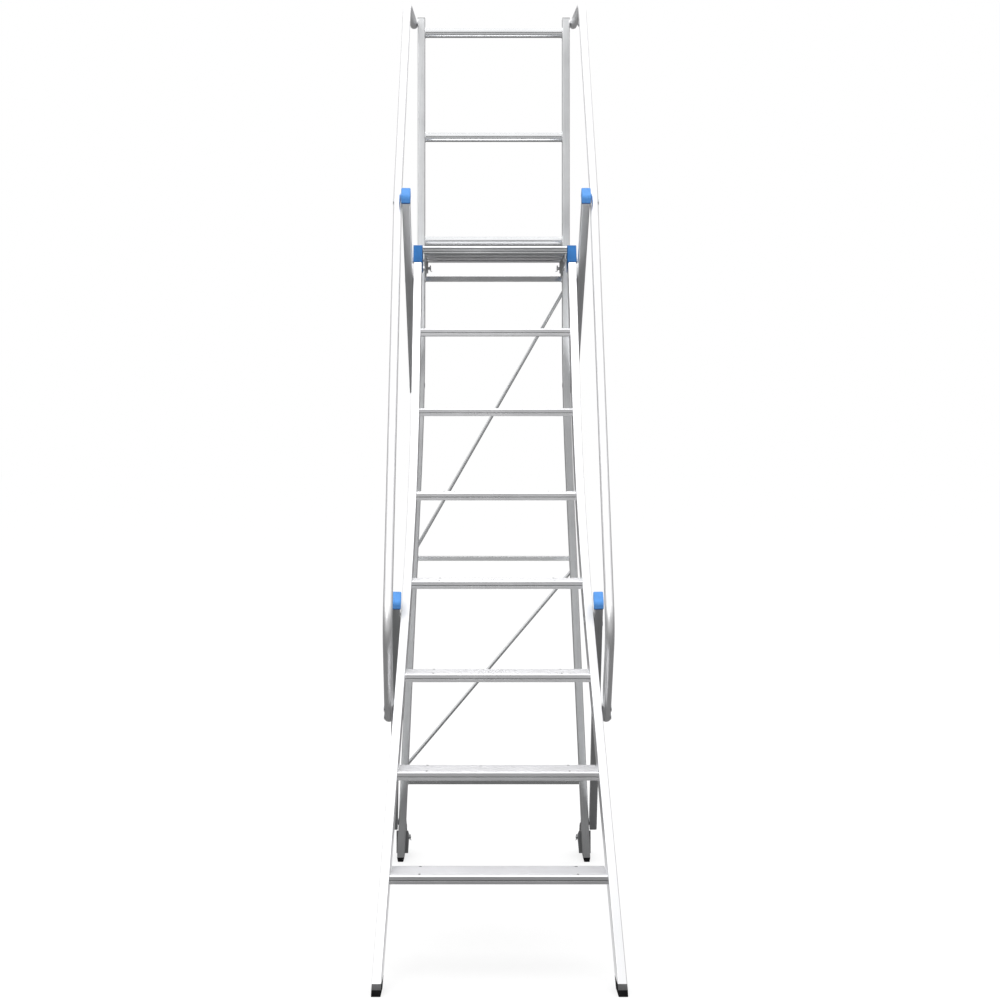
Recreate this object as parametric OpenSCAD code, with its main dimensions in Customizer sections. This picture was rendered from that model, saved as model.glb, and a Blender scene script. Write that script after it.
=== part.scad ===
/* [Flight] */
// Rise from the floor to the top of the lowest tread
bottom_rise = 279; // [250:1:305]
// Rise from one tread to the next
tread_rise = 250; // [225:1:275]
// Rise from the highest tread to the top of the platform
top_rise = 269; // [240:1:295]
// Slope of the flight above the floor, in degrees
flight_angle = 65; // [62:0.5:68]
// Half of the clear width between the front stiles, above their bend
stile_half = 232.5; // [215:0.5:260]
// Width of a front stile, seen from the front
stile_w = 25; // [22:0.5:30]
// Depth of a front stile, square to the flight
stile_d = 65; // [58:0.5:75]
// Wall of the stile, post and brace tubes
tube_wall = 2; // [1.5:0.1:3]
// Distance up the stile from the floor to the top of its bend
stile_bend_top = 1735; // [1600:5:1850]
// Length of stile over which the bend is spread
stile_bend_run = 770; // [500:5:900]
// Outward lean of the stiles below the bend, in degrees
stile_lean_angle = 3.2; // [2:0.1:4]

/* [Treads] */
// Depth of a tread from nose to back
tread_d = 100; // [90:0.5:108]
// Height of the front lip of a tread
tread_h = 23; // [21:0.5:28]
// Thickness of the plate of a tread
tread_plate = 3; // [2:0.1:4]
// Thickness of the lips of a tread
lip_t = 3; // [2:0.1:4]
// Height of the rear lip of a tread
rear_lip_h = 18; // [14:0.5:20]
// Radius of the rounded nose of a tread
nose_r = 4; // [3:0.1:5]
// Number of grip ribs on a tread
tread_ribs = 11; // [6:1:12]
// Width of a grip rib
rib_w = 2.4; // [1.5:0.1:3]
// Height of a grip rib
rib_h = 1.4; // [0.8:0.1:2]
// Length of the bracket leg under a tread
bracket_leg = 95; // [60:1:120]
// Height of the groove along the front lip of a tread
tread_groove = 2.4; // [1:0.1:3]
// Thickness of a tread bracket
bracket_t = 3; // [2:0.1:4]

/* [Platform] */
// Depth of the platform from its nose to its back edge
deck_depth = 300; // [280:1:330]
// Thickness of the platform
deck_thickness = 22; // [20:0.5:26]
// Depth of the nosing along the platform's front
nosing_d = 16; // [12:0.5:22]
// Height and depth of the two grooves along the nosing
nosing_groove = 3.6; // [2:0.1:4]
// Depth of the narrow plank along the platform's back
back_plank_d = 18; // [16:0.5:22]
// Number of grip ribs on a wide plank
plank_ribs = 8; // [4:1:9]
// Width of the feet under a wide plank
plank_foot = 20; // [12:0.5:26]
// Gap between the ends of the nosing and the stile caps
nosing_gap = 1.5; // [1:0.1:3]
// Height of the side rails under the planks
rail_h = 36; // [32:0.5:42]
// Thickness of a side rail
rail_t = 4; // [3:0.1:5]
// Drop of the pivot pins below the planks
pivot_drop = 21; // [19:0.5:23]
// Distance of the pivot pins from the platform's back edge
pivot_back = 15; // [13:0.5:18]
// Radius of the pivot pins and of the front studs
pin_r = 5; // [4:0.1:6]

/* [Rear frame] */
// Gap between the platform's back edge and the rear posts
post_clear = 20; // [18:0.5:26]
// Width of a rear post, seen from the front
post_w = 25; // [22:0.5:30]
// Depth of a rear post
post_d = 40; // [36:0.5:50]
// Height of the rear posts above the platform
guard_rise = 808; // [760:1:900]
// Height of the top of the bend in a rear post
post_bend_top = 1830; // [1700:5:1900]
// Length of post over which the bend is spread
post_bend_run = 500; // [300:5:600]
// Outward lean of the rear posts below the bend, in degrees
post_lean_angle = 2.55; // [1.5:0.05:3.5]
// Radius of the guard rungs
rung_r = 16; // [13:0.5:17]
// Drop of the top guard rung below the tops of the posts
top_rung_drop = 46; // [40:1:90]
// Rise of the toe rung above the platform
toe_rung_rise = 55; // [50:1:80]
// Drop of the support bar below the underside of the platform
support_drop = 51; // [50:1:70]
// Height of the middle bar between the legs
middle_bar_z = 1026; // [980:1:1080]
// Height of the low bar between the legs
low_bar_z = 268; // [230:1:310]
// Height and depth of the bar under the platform
support_bar_size = 18; // [15:0.5:20]
// Height of the two lower bars
leg_bar_h = 14; // [12:0.5:20]
// Depth of the two lower bars
leg_bar_d = 26; // [20:0.5:34]
// Radius of the diagonal rods
diagonal_r = 5.5; // [4:0.1:7]

/* [Braces] */
// Width of a side brace, seen from the front
brace_w = 24; // [20:0.5:28]
// Depth of a side brace
brace_d = 40; // [34:0.5:46]
// Gap from a stile or post to the brace bolted beside it
brace_gap = 3; // [2.5:0.1:5]
// Rise above the platform at which the upper brace meets the handrail
rail_joint_rise = 108; // [95:1:120]
// Drop below the platform at which the upper brace meets the rear post
upper_foot_drop = 433; // [400:1:460]
// Distance up the stile at which the lower brace crosses it
lower_cross = 1034; // [1000:1:1060]
// Length of the upper brace in front of its joint with the handrail
upper_brace_head = 30; // [30:1:40]
// Length of the lower brace in front of its joint with the stile
lower_brace_head = 89; // [80:1:110]
// Height at which the lower brace meets the rear post
lower_foot_z = 132; // [128:1:150]

/* [Handrails] */
// Outer radius of the handrail tube
handrail_r = 13; // [11:0.5:15]
// Wall of the handrail tube
handrail_wall = 2; // [1.5:0.1:3]
// Height of the handrail above the line of the tread noses
handrail_rise = 619; // [600:1:640]
// Drop of the level run of a handrail below the tops of the posts
handrail_drop = 14; // [14:1:22]
// Height of the corner at the bottom of a handrail
handrail_low_z = 930; // [900:1:960]
// Inward lean of a handrail from the upper brace to its top corner
handrail_lean = 15; // [8:1:20]
// Radius of the bend at the top of a handrail
top_bend_r = 60; // [45:1:80]
// Radius of the bend at the bottom of a handrail
low_bend_r = 105; // [80:1:130]
// Distance up the stile at which the handrail comes back to it
tail_cross = 758; // [735:1:780]

/* [Feet, caps and castors] */
// Height of a front foot
front_foot_h = 32; // [26:0.5:40]
// Height of a rear foot below the post
rear_foot_h = 15; // [12:0.5:20]
// Taper of a rear foot on each side
foot_taper = 3.5; // [1:0.5:5]
// Height of the upright face at the front of a front foot
foot_face_h = 18; // [10:0.5:22]
// Wall of a plastic cap
cap_wall = 2; // [1.5:0.1:3]
// Length of the skirt of a stile cap
stile_cap_skirt = 58; // [40:1:62]
// Length of the skirt of a brace cap
brace_cap_skirt = 14; // [8:1:15]
// Thickness of the closed end of a brace cap
brace_cap_end = 8; // [7:0.5:10]
// Radius of the rounded lower edge of a brace cap
brace_cap_r = 10; // [6:0.5:12]
// Outer radius of a castor tyre
tyre_r = 50; // [44:0.5:54]
// Radius of a castor wheel under its tyre
wheel_r = 38; // [33:0.5:41]
// Width of a castor tyre
tyre_w = 24; // [20:0.5:30]
// Height of a castor axle
axle_z = 58; // [56:0.5:66]
// Distance of a castor axle behind the post
axle_back = 60; // [58:0.5:70]

/* [Hidden] */
$fn = 48;
// Overrun of a cut past the face that it opens
cut = 5;
// Running clearance on a pin or an axle
run_fit = 0.05;
// Clearance of a bolt in its hole
bolt_fit = 0.2;
// Gap left under a bolt head or nut, which sits on a leaning face
seat_gap = 0.6;
// Gap between a round tube and the flat face that it is bolted to
tube_seat = 0.4;
// Overlap of a foot's block and the plug that holds it in its tube
plug_lap = 2;
// Straight steps that make up a bend in a stile or post
bend_steps = 6;
// Reach of a straight run of tube into the bend beside it
bend_lap = 1;
// Swelling of a tube where it is bent
bend_swell = 0.05;

tread_count = 7;
plank_count = 4;
platform_top = bottom_rise + (tread_count - 1) * tread_rise + top_rise;
deck_bottom = platform_top - deck_thickness;
post_top = platform_top + guard_rise;
top_rung_z = post_top - top_rung_drop;
toe_rung_z = platform_top + toe_rung_rise;
middle_rung_z = (top_rung_z + toe_rung_z) / 2;
support_bar_z = deck_bottom - support_drop;
rail_joint_z = platform_top + rail_joint_rise;
upper_foot_z = platform_top - upper_foot_drop;
handrail_top_z = post_top - handrail_drop;
toe_y = nose_y(0);
stile_top = platform_top / sin(flight_angle);
stile_flare = [stile_half, stile_bend_top, stile_bend_run, stile_lean_angle];
post_y = deck_depth + post_clear;
post_mid = post_y + post_d / 2;
post_flare = [stile_half, post_bend_top, post_bend_run, post_lean_angle];
cut_span = platform_top + post_top;
axle_y = post_y + post_d + axle_back;
// Middle of the object's box, front to back, which is the origin
base_mid = (nose_y(foot_face_h) + axle_y + tyre_r) / 2;

// Bolts, pins and washers
bolt_r = 5;
bolt_head_r = 9.5;
bolt_head_h = 6;
nut_h = 8;
washer_r = 11;
split_r = 1.3;
split_tail = 13;
tail_turn_angle = 65;
knuckle_share = 1.25;
washer_t = 2.5;

// Side braces
brace_x = stile_half + stile_w + brace_gap;
brace_tail = brace_d / 2;
bolt_spread = brace_d / 3;
rail_joint = [brace_x, nose_y(rail_joint_z - handrail_rise), rail_joint_z];
upper_foot = [brace_x, post_mid, upper_foot_z];
upper_way = unit(upper_foot - rail_joint);
lower_mid = flight_point(lower_cross, stile_d / 2);
lower_joint = [half_at(stile_flare, lower_cross) + stile_w + brace_gap, lower_mid[0], lower_mid[1]];
lower_foot = [half_at(post_flare, lower_foot_z) + post_w + brace_gap, post_mid, lower_foot_z];
lower_way = unit(lower_foot - lower_joint);
upper_cross_y =
    (rail_joint[1] * upper_slope() + rail_joint_z - stile_line_z()) / (upper_slope() + tan(flight_angle));
upper_cross_z = rail_joint_z - upper_slope() * (upper_cross_y - rail_joint[1]);

// Handrails
handrail_x = brace_x + brace_w + handrail_r + tube_seat;
handrail_end_x = half_at(post_flare, handrail_top_z) + post_w + handrail_r + tube_seat;
tail_mid = flight_point(tail_cross, stile_d / 2);
tail_joint = [
    half_at(stile_flare, tail_cross) + stile_w + handrail_r + 2 * tube_seat, tail_mid[0], tail_mid[1]
];
// Distance above the upper brace at which a handrail starts to lean inward
lean_start = brace_d;
lean_z = rail_joint_z + lean_start * sin(flight_angle);
lean_bend_r = 20 * top_bend_r;
rail_corner_low = [handrail_x, nose_y(handrail_low_z - handrail_rise), handrail_low_z];
tail_way = unit(tail_joint - rail_corner_low);
tail_end = 24;
tail_bolt_step = 17;
handrail_route = [
    [handrail_end_x, post_y + post_d - tube_seat, handrail_top_z],
    [handrail_x - handrail_lean, nose_y(handrail_top_z - handrail_rise), handrail_top_z],
    [handrail_x, nose_y(lean_z - handrail_rise), lean_z],
    rail_corner_low,
    tail_joint + tail_end * tail_way
];
handrail_bends = [top_bend_r, lean_bend_r, low_bend_r];
route_last = len(handrail_route) - 1;
// The bore opens at the back and stops short of the closed tip
bore_route = [for (i = [0:route_last]) handrail_route[i] + bore_shift(i)];
tip_share = 0.5;

// Platform
plank_joint = 1;
plank_d = (deck_depth - nosing_d - back_plank_d - (plank_count - 1) * plank_joint) / (plank_count - 1);
plank_half = stile_half - rail_t - nosing_gap - plank_joint;
plank_wall = 2.5;
groove = 1.2;
rail_out = plank_half - plank_joint;
rail_in = rail_out - rail_t;
pivot_y = deck_depth - pivot_back;
pivot_z = deck_bottom - pivot_drop;
stud_y = stile_d / 2 - pin_r;
hook_gap = 0.6;
pin_end = rail_in - 4 * washer_t;

// Castors
castor_z = lower_foot_z - brace_d + tube_wall * 2;
fork_h = castor_z - rear_foot_h - 2 * cap_wall;
fork_t = 3;
fork_side_gap = 1;
hub_half = tyre_w / 2 + fork_side_gap * 4;
fork_in = hub_half + fork_side_gap;
hub_r = 14;
wheel_web = 10;
castor_x = half_at(post_flare, castor_z) + post_w / 2;
// Distance of a split pin from the face beside it
split_stand = 2 * split_r + fork_side_gap;

// Bolts through the frame on one side, each as y, z, inner face and outer face
side_bolts = [
    [upper_cross_y, upper_cross_z, stile_half, brace_x + brace_w],
    [post_mid, upper_foot_z, half_at(post_flare, upper_foot_z), brace_x + brace_w],
    [rail_joint[1], rail_joint_z, brace_x, handrail_x + handrail_r],
    for (side = [-1, 1]) lower_bolt(side * bolt_spread),
    [post_mid, lower_foot_z, half_at(post_flare, lower_foot_z), lower_foot[0] + brace_w],
    for (side = [-1, 1]) tail_bolt(side * tail_bolt_step),
    [post_mid, handrail_top_z, half_at(post_flare, handrail_top_z) + post_w - tube_wall,
        handrail_end_x + handrail_r + bolt_head_h / 2]
];
// The same bolts' spacers, each as y, z, inner end and outer end
side_spacers = [
    [upper_cross_y, upper_cross_z, stile_half + stile_w, brace_x],
    [post_mid, upper_foot_z, half_at(post_flare, upper_foot_z) + post_w + seat_gap / 2, brace_x],
    [post_mid, lower_foot_z, lower_foot[0] - brace_gap + seat_gap, lower_foot[0] - seat_gap]
];

// Place of the tread noses at a height, measured back from the platform's front
function nose_y(z) = (z - deck_bottom) / tan(flight_angle);
// Clear half width of a bent pair of members at a distance along them
function half_at(flare, s) =
    let (below = flare[1] - s, slope = tan(flare[3]))
    below <= 0 ? flare[0]
    : below < flare[2] ? flare[0] + slope * below * below / (2 * flare[2])
    : flare[0] + slope * (below - flare[2] / 2);
// Depth and height of a point on the flight, by its distance up it and behind its face
function flight_point(s, d) = [
    toe_y + s * cos(flight_angle) + d * sin(flight_angle),
    s * sin(flight_angle) - d * cos(flight_angle)
];
function unit(v) = v / norm(v);
function upper_slope() =
    (rail_joint_z - upper_foot_z) / (post_mid - nose_y(rail_joint_z - handrail_rise));
// Height of the stile's middle line where it crosses the platform's front plane
function stile_line_z() = deck_bottom - stile_d / 2 / cos(flight_angle);
function tread_z(i) = bottom_rise + (i - 1) * tread_rise;
function lower_bolt(step) =
    let (p = flight_point(lower_cross + step, stile_d / 2))
    [p[0], p[1], half_at(stile_flare, lower_cross + step), lower_joint[0] + brace_w];
function tail_bolt(step) =
    let (p = tail_joint + step * tail_way, s = tail_cross + step * unit_drop())
    [p[1], p[2], half_at(stile_flare, s), p[0] + handrail_r];
function bore_shift(i) =
    i == 0 ? cut * unit(handrail_route[0] - handrail_route[1])
    : i == route_last ? -handrail_wall * tail_way
    : [0, 0, 0];
function unit_drop() = tail_way[1] * cos(flight_angle) + tail_way[2] * sin(flight_angle);

module at_base() { translate([0, -base_mid, 0]) children(); }
module left() { mirror([1, 0, 0]) children(); }
module both() {
    children();
    left() children();
}
module on_flight() { translate([0, toe_y, 0]) rotate([flight_angle - 90, 0, 0]) children(); }
module slab(low, high) {
    translate([-cut_span, -cut_span, low]) cube([2 * cut_span, 2 * cut_span, high - low]);
}
// A bar that follows the bend of a pair of members, between two offsets from their inner face
module band(flare, w0, w1, s0, s1, d0, d1) {
    bend = [for (i = [0:bend_steps]) flare[1] - flare[2] * (1 - i / bend_steps)];
    stations = concat([s0], [for (s = bend) if (s > s0 && s < s1) s], [s1]);
    count = len(stations);
    inner_line = [for (s = stations) [half_at(flare, s) + w0, s]];
    outer_line = [for (i = [1:count]) let (s = stations[count - i]) [half_at(flare, s) + w1, s]];
    translate([0, d1, 0]) rotate([90, 0, 0]) linear_extrude(d1 - d0)
        polygon(concat(inner_line, outer_line));
}
module stile_solid() { band(stile_flare, 0, stile_w, -stile_d, stile_top, 0, stile_d); }
module post_solid() {
    translate([0, post_y, 0]) band(post_flare, 0, post_w, rear_foot_h, post_top, 0, post_d);
}
// What lies outside the inner faces of the stiles or posts, to trim what runs between them
module stile_trim() {
    on_flight() band(stile_flare, 0, 2 * stile_w, 0, stile_top, -tread_d, stile_d + tread_d);
}
module post_trim() {
    translate([0, post_y, 0]) band(post_flare, 0, 2 * post_w, 0, post_top, -post_d, 2 * post_d);
}
module along_x(x, y, z) { translate([x, y, z]) rotate([0, 90, 0]) children(); }
module drill(bolts) {
    for (b = bolts)
        along_x(b[2] - cut, b[0], b[1]) cylinder(r = bolt_r + bolt_fit, h = b[3] - b[2] + 2 * cut);
}
// Frame with its axis from one point to another and its first axis near the object's width
module aim(from, to) {
    ez = unit(to - from);
    ex = unit([1, 0, 0] - ez[0] * ez);
    ey = cross(ez, ex);
    multmatrix([
        [ex[0], ey[0], ez[0], from[0]],
        [ex[1], ey[1], ez[1], from[1]],
        [ex[2], ey[2], ez[2], from[2]],
        [0, 0, 0, 1]
    ]) children();
}
// Round bar along a route of straight runs with a true arc at each corner
module bent_rod(route, r, bends) {
    last = len(route) - 1;
    way = [for (i = [0:last - 1]) unit(route[i + 1] - route[i])];
    turn = [for (i = [1:last - 1]) acos(way[i - 1] * way[i])];
    trim = [for (i = [0:last]) i == 0 || i == last ? 0 : bends[i - 1] * tan(turn[i - 1] / 2)];
    for (i = [0:last - 1]) {
        from = route[i] + (i == 0 ? 0 : trim[i] - bend_lap) * way[i];
        to = route[i + 1] - (i == last - 1 ? 0 : trim[i + 1] - bend_lap) * way[i];
        aim(from, to) cylinder(r = r, h = norm(to - from));
    }
    for (i = [1:last - 1]) {
        start = route[i] - trim[i] * way[i - 1];
        inward = unit(way[i] - (way[i] * way[i - 1]) * way[i - 1]);
        centre = start + bends[i - 1] * inward;
        axis = cross(-inward, way[i - 1]);
        multmatrix([
            [-inward[0], way[i - 1][0], axis[0], centre[0]],
            [-inward[1], way[i - 1][1], axis[1], centre[1]],
            [-inward[2], way[i - 1][2], axis[2], centre[2]],
            [0, 0, 0, 1]
        ]) rotate_extrude(angle = turn[i - 1], $fn = 96)
            translate([bends[i - 1], 0]) circle(r = r + bend_swell, $fn = 48);
    }
}
module hex_bolt(b) {
    along_x(b[2] - seat_gap - nut_h, b[0], b[1]) cylinder(r = bolt_head_r, h = nut_h, $fn = 6);
    along_x(b[2] - seat_gap - nut_h - bolt_r / 2, b[0], b[1])
        cylinder(r = bolt_r, h = b[3] - b[2] + 2 * seat_gap + nut_h + bolt_r / 2 + bolt_head_h / 2);
    along_x(b[3] + seat_gap, b[0], b[1]) cylinder(r = bolt_head_r, h = bolt_head_h, $fn = 6);
}
module spacer(b) {
    along_x(b[2], b[0], b[1]) difference() {
        cylinder(r = washer_r, h = b[3] - b[2]);
        translate([0, 0, -cut]) cylinder(r = bolt_r + bolt_fit, h = b[3] - b[2] + 2 * cut);
    }
}

module front_stile() {
    color("gainsboro") at_base() difference() {
        on_flight() difference() {
            stile_solid();
            band(stile_flare, tube_wall, stile_w - tube_wall, -stile_d - cut, stile_top + cut,
                tube_wall, stile_d - tube_wall);
        }
        slab(-cut_span, front_foot_h);
        drill(side_bolts);
        drill([[stud_y, pivot_z, stile_half, stile_half + stile_w]]);
    }
}
module front_foot() {
    side = tube_wall + run_fit;
    color("black") at_base() {
        intersection() {
            on_flight() stile_solid();
            slab(0, front_foot_h);
            translate([0, nose_y(foot_face_h), 0]) rotate([-90, 0, 0]) slab(0, cut_span);
        }
        intersection() {
            on_flight() band(stile_flare, side, stile_w - side, -stile_d, stile_d + 2 * front_foot_h,
                side, stile_d - side);
            slab(front_foot_h - plug_lap, front_foot_h * 3 / 2);
        }
    }
}
module stile_cap() {
    color("royalblue") at_base() difference() {
        on_flight() difference() {
            band(stile_flare, -cap_wall, stile_w + cap_wall, stile_top - stile_cap_skirt,
                stile_top + 2 * cap_wall, -cap_wall, stile_d + cap_wall);
            band(stile_flare, 0, stile_w, stile_top - stile_cap_skirt - cut, stile_top, 0, stile_d);
        }
        drill([[stud_y, pivot_z, stile_half, stile_half + stile_w]]);
    }
}
module tread_profile() {
    translate([nose_r, -nose_r]) circle(r = nose_r);
    translate([nose_r, -rib_h - tread_plate]) square([tread_d - nose_r, tread_plate]);
    difference() {
        translate([0, -tread_h]) square([lip_t, tread_h - nose_r]);
        translate([-groove, -(tread_h + nose_r + tread_groove) / 2]) square([2 * groove, tread_groove]);
    }
    translate([0, -tread_h]) square([3 * lip_t, lip_t]);
    translate([tread_d - lip_t, -rear_lip_h - rib_h]) square([lip_t, rear_lip_h]);
    rib_step = (tread_d - 3 * nose_r) / tread_ribs;
    for (i = [0:tread_ribs - 1])
        translate([2 * nose_r + rib_step * (i + 1 / 2) - rib_w / 2, -rib_h - tread_plate / 2])
            square([rib_w, rib_h + tread_plate / 2]);
}
module tread(i) {
    z = tread_z(i);
    half = half_at(stile_flare, z / sin(flight_angle)) + stile_w / 2;
    color("silver") at_base() difference() {
        translate([0, nose_y(z), z]) rotate([90, 0, 90])
            linear_extrude(2 * half, center = true) tread_profile();
        both() stile_trim();
    }
}
module tread_brackets() {
    color("darkgray") at_base() for (i = [1:tread_count]) {
        half = half_at(stile_flare, tread_z(i) / sin(flight_angle));
        under = tread_z(i) - rib_h - tread_plate;
        drop = rear_lip_h - tread_plate;
        bracket_d = tread_d - 6 * lip_t;
        difference() {
            translate([half, nose_y(tread_z(i)) + 4 * lip_t, under]) {
                translate([-bracket_leg, 0, -bracket_t])
                    cube([bracket_leg + stile_w / 2, bracket_d, bracket_t]);
                translate([-bracket_t, 0, -drop]) cube([bracket_t + stile_w / 2, bracket_d, drop]);
            }
            stile_trim();
        }
    }
}
module rear_post() {
    color("gainsboro") at_base() difference() {
        post_solid();
        translate([0, post_y, 0]) band(post_flare, tube_wall, post_w - tube_wall, 0, post_top + cut,
            tube_wall, post_d - tube_wall);
        drill(side_bolts);
    }
}
module post_plug(low, high) {
    side = tube_wall + run_fit;
    translate([0, post_y, 0]) band(post_flare, side, post_w - side, low, high, side, post_d - side);
}
module rear_foot() {
    top = half_at(post_flare, rear_foot_h);
    low = half_at(post_flare, 0);
    color("black") at_base() {
        translate([0, post_y + post_d, 0]) rotate([90, 0, 0]) linear_extrude(post_d) polygon([
            [top, rear_foot_h], [low + foot_taper, 0],
            [low + post_w - foot_taper, 0], [top + post_w, rear_foot_h]
        ]);
        post_plug(rear_foot_h - plug_lap, 2 * rear_foot_h);
    }
}
module post_cap() {
    color("lightgray") at_base() {
        translate([0, post_y, 0]) band(post_flare, 0, post_w, post_top, post_top + cap_wall, 0, post_d);
        post_plug(post_top - 2 * cap_wall, post_top + cap_wall / 2);
    }
}
module guard_rung(z) {
    half = half_at(post_flare, z);
    color("silver") at_base() along_x(-half, post_mid, z) difference() {
        cylinder(r = rung_r, h = 2 * half);
        translate([0, 0, -cut]) cylinder(r = rung_r - tube_wall, h = 2 * (half + cut));
    }
}
module cross_bar(z, h, d) {
    half = half_at(post_flare, z) + post_w / 2;
    color("darkgray") at_base() difference() {
        translate([-half, post_mid - d / 2, z - h / 2]) cube([2 * half, d, h]);
        translate([-half - cut, post_mid - d / 2 + tube_wall, z - h / 2 + tube_wall])
            cube([2 * (half + cut), d - 2 * tube_wall, h - 2 * tube_wall]);
        both() post_trim();
    }
}
// Rod that falls from the right post to the left one
module diagonal(high_z, low_z) {
    high = [half_at(post_flare, high_z), post_mid, high_z];
    low = [-half_at(post_flare, low_z), post_mid, low_z];
    way = unit(low - high);
    spare = post_w / 2;
    color("darkgray") at_base() difference() {
        translate(high - spare * way) rotate([0, atan2(way[0], way[2]), 0])
            cylinder(r = diagonal_r, h = norm(low - high) + 2 * spare);
        both() post_trim();
    }
}
module brace_tube(from, to) {
    aim(from, to) translate([0, -brace_d / 2, 0]) difference() {
        cube([brace_w, brace_d, norm(to - from)]);
        translate([tube_wall, tube_wall, -cut])
            cube([brace_w - 2 * tube_wall, brace_d - 2 * tube_wall, norm(to - from) + 2 * cut]);
    }
}
module brace_cap_profile() {
    half = brace_d / 2 + cap_wall;
    long = brace_cap_end + brace_cap_skirt;
    translate([-half, -brace_cap_end]) square([2 * half - brace_cap_r, long]);
    translate([-half, brace_cap_r - brace_cap_end]) square([2 * half, long - brace_cap_r]);
    translate([half - brace_cap_r, brace_cap_r - brace_cap_end]) circle(r = brace_cap_r);
}
module brace_end_cap(from, to) {
    aim(from, to) difference() {
        translate([-cap_wall, 0, 0]) rotate([90, 0, 90])
            linear_extrude(brace_w + 2 * cap_wall) brace_cap_profile();
        translate([0, -brace_d / 2, 0]) cube([brace_w, brace_d, brace_cap_skirt + cut]);
    }
}
module upper_brace() {
    color("silver") at_base() difference() {
        brace_tube(rail_joint - upper_brace_head * upper_way, upper_foot + brace_tail * upper_way);
        drill(side_bolts);
    }
}
module lower_brace() {
    color("silver") at_base() difference() {
        brace_tube(lower_joint - lower_brace_head * lower_way, lower_foot + brace_tail * lower_way);
        drill(side_bolts);
    }
}
module upper_brace_cap() {
    color("cornflowerblue") at_base() brace_end_cap(rail_joint - upper_brace_head * upper_way, upper_foot);
}
module lower_brace_cap() {
    color("cornflowerblue") at_base() brace_end_cap(lower_joint - lower_brace_head * lower_way, lower_foot);
}
module handrail() {
    end = handrail_route[route_last];
    color("whitesmoke") at_base() difference() {
        union() {
            bent_rod(handrail_route, handrail_r, handrail_bends);
            aim(end, end + tail_way)
                cylinder(r1 = handrail_r, r2 = tip_share * handrail_r, h = tip_share * handrail_r);
        }
        bent_rod(bore_route, handrail_r - handrail_wall, handrail_bends);
        drill(side_bolts);
    }
}
module frame_bolts() {
    color("dimgray") at_base() {
        for (b = side_bolts) hex_bolt(b);
        for (b = side_spacers) spacer(b);
    }
}
module platform_rail() {
    slot_r = pin_r + hook_gap;
    color("silver") at_base() difference() {
        translate([rail_in, stud_y - 4 * pin_r, deck_bottom - rail_h])
            cube([rail_t, deck_depth - stud_y + 4 * pin_r, rail_h]);
        along_x(rail_in - cut, pivot_y, pivot_z) cylinder(r = pin_r + run_fit, h = rail_t + 2 * cut);
        along_x(rail_in - cut, stud_y, pivot_z) cylinder(r = slot_r, h = rail_t + 2 * cut);
        translate([rail_in - cut, stud_y - slot_r, deck_bottom - rail_h - cut])
            cube([rail_t + 2 * cut, 2 * slot_r, pivot_z - deck_bottom + rail_h + cut]);
    }
}
module platform_nosing() {
    half = stile_half - cap_wall - nosing_gap;
    round_r = deck_thickness / 4;
    color("silver") at_base() translate([0, 0, deck_bottom]) rotate([90, 0, 90])
        linear_extrude(2 * half, center = true) difference() {
            union() {
                translate([round_r, deck_thickness - round_r]) circle(r = round_r);
                translate([round_r, deck_thickness - 2 * round_r])
                    square([nosing_d - round_r, 2 * round_r]);
                square([nosing_d, deck_thickness - round_r]);
            }
            for (i = [1:2])
                translate([-cut, deck_thickness * (2 * i - 1) / 6])
                    square([cut + nosing_groove, nosing_groove]);
        }
}
// A wide plank is a channel on two feet, and the narrow one is a closed box
module plank_profile(d, foot, ribs) {
    plate_top = deck_thickness - rib_h;
    difference() {
        square([d, plate_top]);
        translate([plank_wall, plank_wall])
            square([d - 2 * plank_wall, plate_top - plank_wall - tread_plate]);
        if (d > 2 * (plank_wall + foot))
            translate([plank_wall + foot, -cut])
                square([d - 2 * (plank_wall + foot), plank_wall + 2 * cut]);
    }
    step = d / ribs;
    for (i = [0:ribs - 1])
        translate([step * (i + 1 / 2) - rib_w / 2, plate_top - tread_plate / 2])
            square([rib_w, rib_h + tread_plate / 2]);
}
module plank(i) {
    wide = i < plank_count;
    color("silver") at_base() translate([0, nosing_d + (i - 1) * (plank_d + plank_joint), deck_bottom])
        rotate([90, 0, 90]) linear_extrude(2 * plank_half, center = true)
            plank_profile(wide ? plank_d : back_plank_d, plank_foot, wide ? plank_ribs : 2);
}
module pivot_bracket() {
    front = pivot_y - 3 * pin_r;
    color("darkgray") at_base() difference() {
        translate([stile_half - rail_t, front, pivot_z - 4 * pin_r])
            cube([rail_t, post_y + post_d - front, 8 * pin_r]);
        along_x(stile_half - rail_t - cut, pivot_y, pivot_z) cylinder(r = pin_r, h = rail_t + 2 * cut);
    }
}
module pivot_pin() {
    along_x(pin_end, pivot_y, pivot_z) cylinder(r = pin_r, h = stile_half - pin_end);
    along_x(stile_half, pivot_y, pivot_z) cylinder(r = 2 * pin_r - washer_t, h = washer_t * 2);
}
module pivot_pins() {
    color("dimgray") at_base() both() difference() {
        pivot_pin();
        translate([pin_end + washer_t, pivot_y, pivot_z - pin_r - cut])
            cylinder(r = split_r + run_fit, h = 2 * (pin_r + cut));
    }
}
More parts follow.
